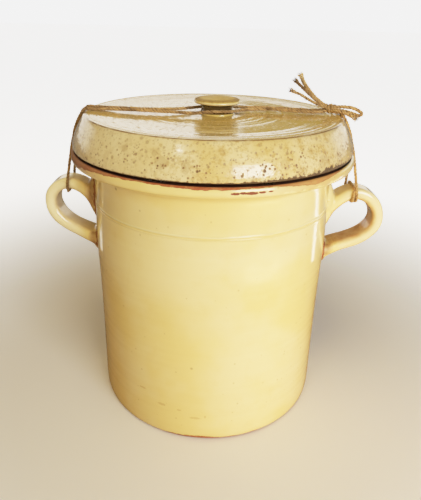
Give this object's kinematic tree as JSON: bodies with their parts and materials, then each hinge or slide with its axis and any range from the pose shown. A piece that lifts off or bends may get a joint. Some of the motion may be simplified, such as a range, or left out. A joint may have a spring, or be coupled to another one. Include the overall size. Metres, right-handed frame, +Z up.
{
  "type": "confit jar",
  "caption": "Lidded, glazed earthenware confit jar with straight sides, a flanged rim, loop handles at its sides and jute twine tied over the lid's knob.",
  "frame": {"origin": "middle of the crock's foot, on the surface that it stands on", "axes": "+Z up; the handles lie along X; the pictured side faces -Y"},
  "size_m": [0.3308, 0.2586, 0.3229],
  "materials": {
    "jar_glaze": "glossy pale yellow glaze over terracotta, worn to the clay at the rim",
    "lid_glaze": "glossy tan-yellow glaze with brown specks",
    "jute": "rough twisted brown jute"
  },
  "bodies": {
    "root": {"jar": "jar_glaze", "lid": "lid_glaze", "twine": "jute"}
  },
  "joints": []
}
